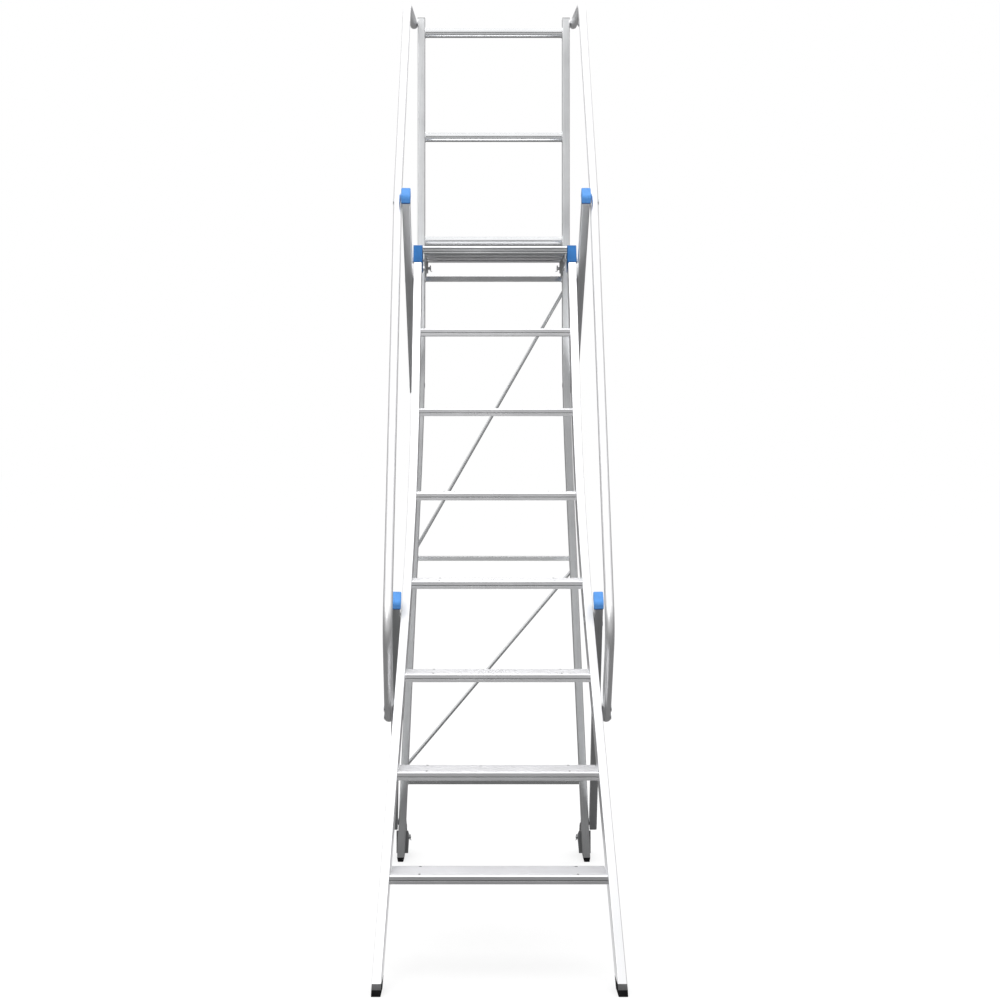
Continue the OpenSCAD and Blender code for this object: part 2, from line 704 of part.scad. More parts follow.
// Pin with a straight leg through its hole, a round eye above and a tail turned aside below
module split_pin(x, y, z, r) {
    leg = 2 * r + 4 * split_r;
    translate([x, y, z - r - 2 * split_r]) {
        cylinder(r = split_r, h = leg, $fn = 24);
        sphere(r = knuckle_share * split_r, $fn = 24);
        rotate([0, 180 + tail_turn_angle, 0]) cylinder(r = split_r, h = split_tail / 2, $fn = 24);
        translate([0, -knuckle_share * split_r, leg]) rotate([-90, 0, 0])
            cylinder(r = 2 * split_r, h = 2 * knuckle_share * split_r, $fn = 24);
    }
}
module split_pins() {
    color("dimgray") at_base() both() {
        split_pin(pin_end + washer_t, pivot_y, pivot_z, pin_r);
        split_pin(castor_x - fork_in - fork_t - split_stand, axle_y, axle_z, pin_r);
    }
}
module platform_studs() {
    color("dimgray") at_base() both() {
        along_x(rail_in - washer_t, stud_y, pivot_z)
            cylinder(r = pin_r, h = stile_half + stile_w + cap_wall - rail_in + 2 * washer_t);
        along_x(stile_half + stile_w + cap_wall, stud_y, pivot_z)
            cylinder(r = bolt_head_r, h = bolt_head_h, $fn = 6);
    }
}
module castor_fork() {
    base = post_y + post_d;
    low = castor_z - fork_h;
    color("darkgray") at_base() translate([castor_x, 0, 0]) difference() {
        union() {
            translate([-fork_in - fork_t, base, low]) cube([2 * (fork_in + fork_t), fork_t, fork_h]);
            for (x = [-fork_in - fork_t, fork_in]) {
                along_x(x, axle_y, axle_z) cylinder(r = hub_r, h = fork_t);
                translate([x, 0, 0]) rotate([90, 0, 90]) linear_extrude(fork_t) polygon([
                    [base, low], [axle_y, axle_z - hub_r], [axle_y, axle_z + hub_r], [base, low + fork_h]
                ]);
            }
        }
        along_x(-fork_in - fork_t - cut, axle_y, axle_z)
            cylinder(r = pin_r, h = 2 * (fork_in + fork_t + cut));
    }
}
module castor_wheel() {
    color("gray") at_base() along_x(castor_x, axle_y, axle_z) difference() {
        union() {
            translate([0, 0, -hub_half]) cylinder(r = hub_r, h = 2 * hub_half);
            translate([0, 0, -wheel_web / 2]) cylinder(r = wheel_r, h = wheel_web);
            translate([0, 0, -tyre_w / 2]) difference() {
                cylinder(r = wheel_r, h = tyre_w);
                translate([0, 0, -cut]) cylinder(r = wheel_r - 2 * fork_t, h = tyre_w + 2 * cut);
            }
        }
        translate([0, 0, -hub_half - cut]) cylinder(r = pin_r + run_fit, h = 2 * (hub_half + cut));
    }
}
module castor_tyre() {
    crown = tyre_w / 6;
    color("black") at_base() along_x(castor_x, axle_y, axle_z) rotate_extrude($fn = 96) {
        translate([wheel_r, -tyre_w / 2]) square([tyre_r - crown - wheel_r, tyre_w]);
        translate([wheel_r, -tyre_w / 2 + crown]) square([tyre_r - wheel_r, tyre_w - 2 * crown]);
        for (side = [-1, 1]) translate([tyre_r - crown, side * (tyre_w / 2 - crown)]) circle(r = crown);
    }
}
module castor_axle() {
    inner_end = castor_x - fork_in - fork_t - 2 * split_stand;
    outer_end = castor_x + fork_in + fork_t;
    difference() {
        along_x(inner_end, axle_y, axle_z) cylinder(r = pin_r, h = outer_end - inner_end);
        translate([inner_end + split_stand, axle_y, axle_z - pin_r - cut])
            cylinder(r = split_r + run_fit, h = 2 * (pin_r + cut));
    }
    along_x(outer_end, axle_y, axle_z) cylinder(r = 2 * pin_r - washer_t, h = washer_t);
}
module castor_axles() { color("dimgray") at_base() both() castor_axle(); }

left() front_stile();  // front_stile_left
front_stile();  // front_stile_right
left() front_foot();  // front_foot_left
front_foot();  // front_foot_right
left() stile_cap();  // stile_cap_left
stile_cap();  // stile_cap_right
tread(1);  // tread_1
tread(2);  // tread_2
tread(3);  // tread_3
tread(4);  // tread_4
tread(5);  // tread_5
tread(6);  // tread_6
tread(7);  // tread_7
left() tread_brackets();  // tread_brackets_left
tread_brackets();  // tread_brackets_right
left() rear_post();  // rear_post_left
rear_post();  // rear_post_right
left() rear_foot();  // rear_foot_left
rear_foot();  // rear_foot_right
left() post_cap();  // post_cap_left
post_cap();  // post_cap_right
guard_rung(top_rung_z);  // guard_rung_top
guard_rung(middle_rung_z);  // guard_rung_middle
guard_rung(toe_rung_z);  // guard_rung_toe
cross_bar(support_bar_z, support_bar_size, support_bar_size);  // support_bar
cross_bar(middle_bar_z, leg_bar_h, leg_bar_d);  // leg_bar_middle
cross_bar(low_bar_z, leg_bar_h, leg_bar_d);  // leg_bar_low
diagonal(support_bar_z - rung_r * 3, middle_bar_z + rung_r * 3);  // diagonal_upper
diagonal(middle_bar_z - rung_r * 3, low_bar_z + rung_r * 4);  // diagonal_lower
left() upper_brace();  // upper_brace_left
upper_brace();  // upper_brace_right
left() lower_brace();  // lower_brace_left
lower_brace();  // lower_brace_right
left() upper_brace_cap();  // upper_brace_cap_left
upper_brace_cap();  // upper_brace_cap_right
left() lower_brace_cap();  // lower_brace_cap_left
lower_brace_cap();  // lower_brace_cap_right
left() handrail();  // handrail_left
handrail();  // handrail_right
left() frame_bolts();  // frame_bolts_left
frame_bolts();  // frame_bolts_right
left() platform_rail();  // platform_rail_left
platform_rail();  // platform_rail_right
platform_nosing();
plank(1);  // plank_1
plank(2);  // plank_2
plank(3);  // plank_3
plank(4);  // plank_4
left() pivot_bracket();  // pivot_bracket_left
pivot_bracket();  // pivot_bracket_right
pivot_pins();
split_pins();
platform_studs();
left() castor_fork();  // castor_fork_left
castor_fork();  // castor_fork_right
left() castor_wheel();  // castor_wheel_left
castor_wheel();  // castor_wheel_right
left() castor_tyre();  // castor_tyre_left
castor_tyre();  // castor_tyre_right
castor_axles();
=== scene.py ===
"""Aluminium podium step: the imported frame, dressed and lit for a studio picture."""

import math

import bmesh
import bpy
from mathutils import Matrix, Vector


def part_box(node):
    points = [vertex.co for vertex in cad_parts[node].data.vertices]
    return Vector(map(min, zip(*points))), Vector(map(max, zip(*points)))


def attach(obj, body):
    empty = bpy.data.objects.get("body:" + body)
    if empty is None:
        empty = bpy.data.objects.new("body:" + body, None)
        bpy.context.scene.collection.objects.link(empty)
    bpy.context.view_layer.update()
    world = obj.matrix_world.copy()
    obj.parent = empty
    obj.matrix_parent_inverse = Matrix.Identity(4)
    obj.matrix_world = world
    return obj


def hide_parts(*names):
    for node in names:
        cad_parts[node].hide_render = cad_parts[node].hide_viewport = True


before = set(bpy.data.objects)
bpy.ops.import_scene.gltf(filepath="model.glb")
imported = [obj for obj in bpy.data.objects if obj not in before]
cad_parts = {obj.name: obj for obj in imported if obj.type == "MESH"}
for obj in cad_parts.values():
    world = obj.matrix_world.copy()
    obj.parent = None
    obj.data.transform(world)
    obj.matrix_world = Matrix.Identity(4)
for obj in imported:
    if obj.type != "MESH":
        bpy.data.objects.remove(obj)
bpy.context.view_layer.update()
scene = bpy.context.scene

MM = 0.001
SIDES = ("left", "right")
ACROSS = (1, 0, 0)
UPRIGHT = (0, 0, 1)

# Sizes shared with the part's source
TREADS = 7
PLANKS = 4
TREAD_DEPTH = 100 * MM
TREAD_PLATE_DROP = 1.4 * MM

# Copies of nodes: which triangles join, and which edges count as corners
JOIN_WITHIN = 1e-6
FLAT_WITHIN = math.radians(0.2)
CORNER_ANGLE = math.radians(45)
SHARP_ANGLE = math.radians(40)
ALONG_BAR = 0.994
EDGE_LEAST = 1 * MM
BAR_EDGE_LEAST = 3 * MM

# Radii of the rounded corners, and the steps that round them
TUBE_CORNER = 2.5 * MM
CROSSBAR_CORNER = 1.5 * MM
BAR_STEPS = 4
TREAD_CORNER = 0.5 * MM
TREAD_STEPS = 2
FOOT_CORNER = 1.5 * MM
FOOT_STEPS = 3
CROSSBARS = ("support_bar", "leg_bar_middle", "leg_bar_low")
SMALL_PIECES = (
    ("rear_foot_", "frame", "rubber_foot", 1.2 * MM, 3),
    ("post_cap_", "frame", "grey_cap", 0.8 * MM, 3),
    ("castor_fork_", "frame", "steel_fastener", 0.5 * MM, 2),
    ("pivot_bracket_", "frame", "tread_aluminium", 0.6 * MM, 2),
    ("platform_rail_", "platform", "tread_aluminium", 0.6 * MM, 2),
)

# Caps: their corners, the band of painted shade at the open end and how much further a brace cap's skirt
# runs
CAP_STEPS = 5
CAP_END = 1.5 * MM
STILE_CAP_CORNER = 4.5 * MM
STILE_CAP_EDGE_LEAST = 3 * MM
STILE_RIM_SHADE = 2.5 * MM
BRACE_CAP_CORNER = 3.5 * MM
BRACE_CAP_EDGE_LEAST = 0.3 * MM
BRACE_RIM_SHADE = 4 * MM
BRACE_SKIRT_MORE = 6 * MM

# Feet are painted lighter above this height as painted light, and a nose's grooves lie this far behind its
# front, where they get painted shade
FOOT_FACE = 18 * MM
GROOVE_DEPTHS = (0.25 * MM, 4 * MM)
GROOVE_FOOT = 1 * MM
GROOVE_HEAD = 4 * MM

# Bolts: the share of a head's or nut's height that is kept, and how much wider it is than its shank
HEAD_SHARE = 0.08
HEAD_WIDER = 1.2

# Rivets, by radius and height of their heads, and where they sit
RIVET_FACETS = 16
TREAD_RIVET = (4.8 * MM, 2.2 * MM)
TREAD_RIVET_IN = 80 * MM
TREAD_RIVET_ROWS = (0.15, 0.88)
BRACKET_RIVET = (3.5 * MM, 1.6 * MM)
BRACKET_RIVET_BACK = (30 * MM, 12 * MM)
BRACKET_RIVET_EDGE = 10 * MM

# Weld ripples where the rungs and bars meet the rear posts
WELDED_RUNGS = ("guard_rung_top", "guard_rung_middle", "guard_rung_toe")
WELD_STEP = 3.4 * MM
WELD_RIPPLE = (2.6 * MM, 1.9 * MM)
WELD_FACETS = 8
WELD_OUT = 0.4 * MM

# Camera, read from the photograph's vanishing point and the platform's front edge
CAMERA_PLACE = (-0.064, -4.7638, 1.479)
CAMERA_LENS = 56.56
CAMERA_SENSOR = 36.0
CAMERA_SHIFT = (0.0252, -0.075)

# Studio: the floor and the sky as the camera sees them and as the metal reflects them
FLOOR_HALF = 40.0
FLOOR_SEEN = 0.95
FLOOR_GLOW = 0.72
FLOOR_REACH = (-6.0, 4.0)
FLOOR_LIT_ENDS = (0.46, 0.2)
FLOOR_LIT_STOPS = ((0.29, 0.46), (0.38, 0.14), (0.74, 0.14))
SKY_ENDS = (0.1, 1.0)
SKY_STOPS = ((0.45, 0.12), (0.5, 0.175), (0.6, 0.255), (0.7, 0.8))
SKY_STRENGTH = 1.25


def link(obj):
    scene.collection.objects.link(obj)
    return obj


# Copies of CAD nodes


def merged_copy(node):
    """A CAD node's mesh with its loose triangles joined into flat faces."""
    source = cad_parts[node]
    mesh = source.data.copy()
    shape = bmesh.new()
    shape.from_mesh(mesh)
    shape.transform(source.matrix_world)
    bmesh.ops.remove_doubles(shape, verts=shape.verts, dist=JOIN_WITHIN)
    bmesh.ops.dissolve_limit(shape, angle_limit=FLAT_WITHIN, verts=shape.verts, edges=shape.edges)
    return mesh, shape


def edge_way(edge):
    return (edge.verts[1].co - edge.verts[0].co).normalized()


def long_way(node):
    """Direction of a bar's longest edge, pointing up."""
    mesh, shape = merged_copy(node)
    way = edge_way(max(shape.edges, key=lambda edge: edge.calc_length()))
    shape.free()
    bpy.data.meshes.remove(mesh)
    return way if way.z >= 0 else -way


# Shader groups

LINE_SCALE = 1.0
LINE_SHARE = 0.6
CLOUD_SCALE = 9.0
CLOUD_SHARE = 0.5
TONE_SPAN = (0.35, 0.75)
SCUFF_SCALE = 70.0
SCUFF_SPAN = (0.6, 0.72)
SCUFF_ROUGHER = 0.06
SCUFF_DENT = 0.2
MARK_SCALE = 45.0
MARK_SPAN = (0.35, 0.7)


def new_group(name, inputs):
    """A shader group with the given inputs that puts out a colour, a roughness and a height."""
    tree = bpy.data.node_groups.new(name, "ShaderNodeTree")
    for label, kind, value in inputs:
        socket = tree.interface.new_socket(name=label, in_out="INPUT", socket_type=kind)
        if value is not None:
            socket.default_value = value
    outputs = (("Color", "NodeSocketColor"), ("Roughness", "NodeSocketFloat"), ("Height", "NodeSocketFloat"))
    for label, kind in outputs:
        tree.interface.new_socket(name=label, in_out="OUTPUT", socket_type=kind)
    return tree, tree.nodes.new("NodeGroupInput"), tree.nodes.new("NodeGroupOutput")


def math_node(tree, operation, first, second):
    node = tree.nodes.new("ShaderNodeMath")
    node.operation = operation
    for socket, value in zip(node.inputs, (first, second)):
        if isinstance(value, (int, float)):
            socket.default_value = value
        else:
            tree.links.new(value, socket)
    return node.outputs[0]


def noise_node(tree, vector, scale, detail, roughness=0.55):
    node = tree.nodes.new("ShaderNodeTexNoise")
    node.inputs["Scale"].default_value = scale
    node.inputs["Detail"].default_value = detail
    node.inputs["Roughness"].default_value = roughness
    tree.links.new(vector, node.inputs["Vector"])
    return node.outputs["Fac"]


def span_node(tree, value, low, high):
    """A value's place between low and high, from 0 to 1."""
    node = tree.nodes.new("ShaderNodeMapRange")
    node.inputs["From Min"].default_value = low
    node.inputs["From Max"].default_value = high
    tree.links.new(value, node.inputs["Value"])
    return node.outputs["Result"]


def tint_node(tree, value, dark, light):
    node = tree.nodes.new("ShaderNodeMix")
    node.data_type = "RGBA"
    tree.links.new(value, node.inputs["Factor"])
    tree.links.new(dark, node.inputs[6])
    tree.links.new(light, node.inputs[7])
    return node.outputs[2]


def rough_between(tree, given, value):
    """The group's low roughness plus a share of the way to its high one."""
    spread = math_node(tree, "SUBTRACT", given.outputs["Rough High"], given.outputs["Rough Low"])
    return math_node(tree, "ADD", given.outputs["Rough Low"], math_node(tree, "MULTIPLY", value, spread))


def build_drawn_metal():
    """Lines that an extrusion die draws along a bar, soft clouding and scuffs."""
    tree, given, out = new_group(
        "drawn_metal",
        [
            ("Lines", "NodeSocketVector", None),
            ("Plain", "NodeSocketVector", None),
            ("Dark", "NodeSocketColor", (0.7, 0.7, 0.7, 1)),
            ("Light", "NodeSocketColor", (0.9, 0.9, 0.9, 1)),
            ("Rough Low", "NodeSocketFloat", 0.3),
            ("Rough High", "NodeSocketFloat", 0.45),
        ],
    )
    lines = noise_node(tree, given.outputs["Lines"], LINE_SCALE, 3.0)
    cloud = noise_node(tree, given.outputs["Plain"], CLOUD_SCALE, 3.0)
    scuff = noise_node(tree, given.outputs["Plain"], SCUFF_SCALE, 5.0, 0.7)
    scuffs = span_node(tree, scuff, *SCUFF_SPAN)
    line_tone = math_node(tree, "MULTIPLY", lines, LINE_SHARE)
    cloud_tone = math_node(tree, "MULTIPLY", cloud, CLOUD_SHARE)
    tone = span_node(tree, math_node(tree, "ADD", line_tone, cloud_tone), *TONE_SPAN)
    colour = tint_node(tree, tone, given.outputs["Dark"], given.outputs["Light"])
    tree.links.new(colour, out.inputs["Color"])
    rough = rough_between(tree, given, cloud)
    rough = math_node(tree, "ADD", rough, math_node(tree, "MULTIPLY", scuffs, SCUFF_ROUGHER))
    tree.links.new(rough, out.inputs["Roughness"])
    height = math_node(tree, "SUBTRACT", lines, math_node(tree, "MULTIPLY", scuffs, SCUFF_DENT))
    tree.links.new(height, out.inputs["Height"])
    return tree


def build_moulded_grain():
    """Fine pebble of a mould, with handling marks."""
    tree, given, out = new_group(
        "moulded_grain",
        [
            ("Plain", "NodeSocketVector", None),
            ("Dark", "NodeSocketColor", (0.1, 0.1, 0.1, 1)),
            ("Light", "NodeSocketColor", (0.2, 0.2, 0.2, 1)),
            ("Grain", "NodeSocketFloat", 900.0),
            ("Rough Low", "NodeSocketFloat", 0.4),
            ("Rough High", "NodeSocketFloat", 0.6),
        ],
    )
    pebble = tree.nodes.new("ShaderNodeTexVoronoi")
    tree.links.new(given.outputs["Plain"], pebble.inputs["Vector"])
    tree.links.new(given.outputs["Grain"], pebble.inputs["Scale"])
    marks = span_node(tree, noise_node(tree, given.outputs["Plain"], MARK_SCALE, 4.0, 0.65), *MARK_SPAN)
    colour = tint_node(tree, marks, given.outputs["Dark"], given.outputs["Light"])
    tree.links.new(colour, out.inputs["Color"])
    tree.links.new(rough_between(tree, given, marks), out.inputs["Roughness"])
    tree.links.new(pebble.outputs["Distance"], out.inputs["Height"])
    return tree


drawn_metal = build_drawn_metal()
moulded_grain = build_moulded_grain()


# Materials

DRAWN_LINES = (420, 420, 3)
SATIN_GRAIN = (700, 700, 700)
METAL_BUMP_DEPTH = 0.2 * MM
MOULD_BUMP_DEPTH = 0.3 * MM


def start_material(name, group_tree, dark, light, rough):
    """A material with one of the shader groups in it, set to its shades and roughness."""
    material = bpy.data.materials.new(name)
    material.use_nodes = True
    tree = material.node_tree
    place = tree.nodes.new("ShaderNodeTexCoord").outputs["Object"]
    group = tree.nodes.new("ShaderNodeGroup")
    group.node_tree = group_tree
    tree.links.new(place, group.inputs["Plain"])
    group.inputs["Dark"].default_value = (*dark, 1)
    group.inputs["Light"].default_value = (*light, 1)
    group.inputs["Rough Low"].default_value = rough[0]
    group.inputs["Rough High"].default_value = rough[1]
    return material, tree, group, place


def finish_material(tree, group, bump, depth):
    """Wire the group to the shader, which is returned."""
    shader = tree.nodes["Principled BSDF"]
    tree.links.new(group.outputs["Color"], shader.inputs["Base Color"])
    tree.links.new(group.outputs["Roughness"], shader.inputs["Roughness"])
    node = tree.nodes.new("ShaderNodeBump")
    node.inputs["Strength"].default_value = bump
    node.inputs["Distance"].default_value = depth
    tree.links.new(group.outputs["Height"], node.inputs["Height"])
    tree.links.new(node.outputs["Normal"], shader.inputs["Normal"])
    return shader


def drawn_material(name, along, dark, light, rough, bump=0.12, lines=DRAWN_LINES):
    """Drawn aluminium or steel whose lines run along the given direction."""
    material, tree, group, place = start_material(name, drawn_metal, dark, light, rough)
    turn = tree.nodes.new("ShaderNodeMapping")
    turn.vector_type = "TEXTURE"
    turn.inputs["Rotation"].default_value = Vector(along).to_track_quat("Z", "Y").to_euler()
    tree.links.new(place, turn.inputs["Vector"])
    stretch = tree.nodes.new("ShaderNodeMapping")
    stretch.inputs["Scale"].default_value = lines
    tree.links.new(turn.outputs["Vector"], stretch.inputs["Vector"])
    tree.links.new(stretch.outputs["Vector"], group.inputs["Lines"])
    shader = finish_material(tree, group, bump, METAL_BUMP_DEPTH)
    shader.inputs["Metallic"].default_value = 1.0
    return material


def moulded_material(name, dark, light, rough, grain=900.0, bump=0.15, gloss=0.5):
    """Moulded plastic or rubber."""
    material, tree, group, _ = start_material(name, moulded_grain, dark, light, rough)
    group.inputs["Grain"].default_value = grain
    shader = finish_material(tree, group, bump, MOULD_BUMP_DEPTH)
    shader.inputs["Specular IOR Level"].default_value = gloss
    return material


# Box tubes by the start of their names, with their dark and light shades; these shades carry painted light
# and shade, the front stiles painted lighter and the lower braces darker, though all the tubes are one
# aluminium
TUBE_PAINTED_TONES = (
    ("front_stile_", (0.86, 0.87, 0.88), (0.95, 0.95, 0.96)),
    ("rear_post_", (0.74, 0.75, 0.76), (0.86, 0.87, 0.88)),
    ("upper_brace_", (0.76, 0.77, 0.78), (0.88, 0.89, 0.9)),
    ("lower_brace_", (0.55, 0.56, 0.57), (0.68, 0.69, 0.7)),
)
TUBE_ROUGH = (0.28, 0.42)
tube_ways = {}
tube_metals = {}
for start, dark, light in TUBE_PAINTED_TONES:
    for side in SIDES:
        tube = start + side
        tube_ways[tube] = long_way(tube)
        tube_metals[tube] = drawn_material(tube + "_aluminium", tube_ways[tube], dark, light, TUBE_ROUGH)

# Painted light: the handrails' shades are near white, lighter than the other aluminium, to stand for the
# light that washes them out
rail_metal = drawn_material(
    "handrail_aluminium", UPRIGHT, (0.94, 0.94, 0.95), (0.99, 0.99, 1.0), (0.36, 0.48),
    bump=0.06, lines=SATIN_GRAIN
)
tread_metal = drawn_material(
    "tread_aluminium", ACROSS, (0.74, 0.74, 0.755), (0.82, 0.82, 0.835), (0.34, 0.46)
)
# Painted shade: the dark grey that the grooves of the tread fronts and the nosing take in place of their
# shadow
groove_shade_metal = drawn_material(
    "groove_painted_shade", ACROSS, (0.22, 0.225, 0.23), (0.34, 0.345, 0.35), (0.45, 0.6)
)
deck_metal = drawn_material(
    "deck_aluminium", ACROSS, (0.5, 0.51, 0.52), (0.68, 0.69, 0.7), (0.34, 0.5)
)
bracket_metal = drawn_material(
    "bracket_aluminium", ACROSS, (0.3, 0.305, 0.31), (0.42, 0.425, 0.43), (0.35, 0.5)
)
rung_metal = drawn_material(
    "rung_aluminium", ACROSS, (0.74, 0.75, 0.76), (0.84, 0.85, 0.86), (0.12, 0.24)
)
# Dark steel with painted shade: the rivet heads are painted darker to stand for the shade in their mandrel
# holes
rivet_steel_and_painted_shade = drawn_material(
    "rivet_steel_and_painted_shade", ACROSS, (0.14, 0.145, 0.15), (0.24, 0.245, 0.25), (0.4, 0.55)
)
castor_steel = drawn_material(
    "castor_steel", UPRIGHT, (0.26, 0.265, 0.27), (0.4, 0.405, 0.41), (0.35, 0.5)
)
zinc = drawn_material(
    "zinc_steel", ACROSS, (0.5, 0.51, 0.53), (0.68, 0.69, 0.7), (0.3, 0.45)
)
cap_blue = moulded_material(
    "cap_blue", (0.016, 0.103, 0.29), (0.023, 0.122, 0.335), (0.5, 0.62), gloss=0.15
)
brace_cap_blue = moulded_material(
    "brace_cap_blue", (0.066, 0.21, 0.5), (0.084, 0.245, 0.575), (0.5, 0.62), gloss=0.15
)
# Painted shade: the dark blue band painted at the open end of each cap
rim_shade_blue = moulded_material(
    "rim_shade_blue", (0.012, 0.05, 0.17), (0.018, 0.066, 0.21), (0.5, 0.62), gloss=0.15
)
foot_rubber = moulded_material(
    "foot_rubber", (0.004, 0.004, 0.005), (0.012, 0.012, 0.013), (0.7, 0.85),
    grain=1400.0, bump=0.25, gloss=0.2
)
# Painted light: the lighter grey that the top band of each foot takes above its dark rubber
foot_top_painted_light = moulded_material(
    "foot_top_painted_light", (0.09, 0.09, 0.092), (0.15, 0.15, 0.153), (0.6, 0.8), grain=1400.0, bump=0.25
)
tyre_rubber = moulded_material(
    "tyre_rubber", (0.05, 0.05, 0.055), (0.09, 0.09, 0.095), (0.55, 0.75), grain=1200.0, bump=0.2
)
plug_grey = moulded_material("plug_grey", (0.12, 0.122, 0.125), (0.18, 0.182, 0.186), (0.45, 0.6))
wheel_grey = moulded_material("wheel_grey", (0.3, 0.31, 0.32), (0.42, 0.43, 0.44), (0.4, 0.55))

# Finishes of the other nodes by the start of their names; the first that fits is taken
NODE_FINISHES = (
    ("front_foot", foot_rubber),
    ("rear_foot", foot_rubber),
    ("stile_cap", cap_blue),
    ("upper_brace_cap", brace_cap_blue),
    ("lower_brace_cap", brace_cap_blue),
    ("tread", tread_metal),
    ("plank", tread_metal),
    ("platform_nosing", deck_metal),
    ("platform_rail", bracket_metal),
    ("pivot_bracket", bracket_metal),
    ("post_cap", plug_grey),
    ("handrail", rail_metal),
    ("castor_tyre", tyre_rubber),
    ("castor_wheel", wheel_grey),
    ("castor", castor_steel),
    ("frame_bolts", zinc),
    ("pivot_pins", zinc),
    ("split_pins", zinc),
    ("platform_studs", zinc),
)


def material_of(name):
    """A node's finish; rungs, crossbars and diagonals are what the table leaves."""
    if name in tube_metals:
        return tube_metals[name]
    for start, material in NODE_FINISHES:
        if name.startswith(start):
            return material
    return rung_metal


for name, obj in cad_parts.items():
    obj.data.materials.clear()
    obj.data.materials.append(material_of(name))


# Pieces made from the CAD nodes with rounded corners, which stand for them


def finish_copy(name, mesh, shape):
    shape.to_mesh(mesh)
    shape.free()
    mesh.name = name
    for polygon in mesh.polygons:
        polygon.use_smooth = True
    mesh.set_sharp_from_angle(angle=SHARP_ANGLE)
    piece = link(bpy.data.objects.new(name, mesh))
    level = piece.modifiers.new("level", "WEIGHTED_NORMAL")
    level.keep_sharp = True
    return piece


def round_edges(shape, edges, radius, steps):
    bmesh.ops.bevel(
        shape, geom=edges, offset=radius, offset_type="OFFSET", segments=steps, profile=0.5,
        affect="EDGES", clamp_overlap=True, material=-1
    )


def corner_edges(shape, least):
    """Outward corners, leaving out the short sides of holes and round faces."""
    return [
        edge for edge in shape.edges
        if len(edge.link_faces) == 2 and edge.is_convex and edge.calc_length() > least
        and edge.calc_face_angle() > CORNER_ANGLE
    ]


def rounded_copy(node, radius, steps):
    """Copy of a pressed or moulded piece with all its outward corners rounded."""
    mesh, shape = merged_copy(node)
    round_edges(shape, corner_edges(shape, EDGE_LEAST), radius, steps)
    return finish_copy(node + "_rounded", mesh, shape)


def eased_copy(node, radius, steps):
    """Copy of a drawn bar whose long corners are rounded as its die leaves them."""
    axis = long_way(node)
    mesh, shape = merged_copy(node)
    edges = [
        edge for edge in corner_edges(shape, BAR_EDGE_LEAST)
        if abs(edge_way(edge).dot(axis)) > ALONG_BAR
    ]
    round_edges(shape, edges, radius, steps)
    return finish_copy(node + "_eased", mesh, shape)


def domed_cap(node, axis, radius, least, shade_band, level_skirt=False, longer=0.0):
    """Copy of a cap, rounded but for its open end, whose rim band is painted dark blue as painted shade.

    The open end can be cut level, and its skirt can run further down.
    """
    mesh, shape = merged_copy(node)
    open_end = min(vert.co.dot(axis) for vert in shape.verts) + CAP_END
    rim = [vert for vert in shape.verts if vert.co.dot(axis) < open_end]
    level = max(vert.co.z for vert in rim)
    for vert in rim:
        vert.co -= longer * axis
        if level_skirt:
            vert.co += axis * (level - vert.co.z) / axis.z
    edges = [
        edge for edge in corner_edges(shape, least)
        if max(vert.co.dot(axis) for vert in edge.verts) > open_end
    ]
    round_edges(shape, edges, radius, CAP_STEPS)
    up = Vector(UPRIGHT) if level_skirt else axis
    shade_top = min(vert.co.dot(up) for vert in shape.verts) + shade_band
    whole = shape.verts[:] + shape.edges[:] + shape.faces[:]
    bmesh.ops.bisect_plane(shape, geom=whole, plane_co=shade_top * up, plane_no=up)
    # Faces below the cut take the dark blue of painted shade
    for face in shape.faces:
        if face.calc_center_median().dot(up) < shade_top:
            face.material_index = 1
    mesh.materials.append(rim_shade_blue)
    return finish_copy(node + "_domed", mesh, shape)


def paint_groove_shade(piece, finish):
    """Paint the grooves just behind a front face darker: painted shade in the grooves."""
    mesh = piece.data
    front = min(vert.co.y for vert in mesh.vertices)
    low = min(vert.co.z for vert in mesh.vertices) + GROOVE_FOOT
    top = max(vert.co.z for vert in mesh.vertices) - GROOVE_HEAD
    shallow, deep = GROOVE_DEPTHS
    mesh.materials.append(finish)
    for polygon in mesh.polygons:
        if shallow < polygon.center.y - front < deep and low < polygon.center.z < top:
            polygon.material_index = 1


def paint_above(piece, height, finish):
    """Give the faces that lie above a height a second finish."""
    piece.data.materials.append(finish)
    for polygon in piece.data.polygons:
        if polygon.center.z > height:
            polygon.material_index = 1


def stand_for(piece, node, body, slot):
    """Let a piece ride on a body in a node's place."""
    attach(piece, body)
    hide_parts(node)
    return piece


cap_pieces = []
for side in SIDES:
    node = "stile_cap_" + side
    cap = domed_cap(
        node, tube_ways["front_stile_" + side], STILE_CAP_CORNER, STILE_CAP_EDGE_LEAST, STILE_RIM_SHADE,
        level_skirt=True
    )
    cap_pieces.append(stand_for(cap, node, "frame", "blue_cap"))
    for brace in ("upper_brace_", "lower_brace_"):
        node = brace + "cap_" + side
        cap = domed_cap(
            node, tube_ways[brace + side], BRACE_CAP_CORNER, BRACE_CAP_EDGE_LEAST, BRACE_RIM_SHADE,
            longer=BRACE_SKIRT_MORE
        )
        cap_pieces.append(stand_for(cap, node, "frame", "pale_blue_cap"))
    node = "front_foot_" + side
    foot = rounded_copy(node, FOOT_CORNER, FOOT_STEPS)
    # The foot's top band is painted lighter, as painted light
    paint_above(foot, FOOT_FACE, foot_top_painted_light)
    stand_for(foot, node, "frame", "rubber_foot")
    for start, body, slot, corner, steps in SMALL_PIECES:
        stand_for(rounded_copy(start + side, corner, steps), start + side, body, slot)

tubes = {}
for node in tube_metals:
    tubes[node] = stand_for(eased_copy(node, TUBE_CORNER, BAR_STEPS), node, "frame", "frame_aluminium")
for node in CROSSBARS:
    stand_for(eased_copy(node, CROSSBAR_CORNER, BAR_STEPS), node, "frame", "frame_aluminium")

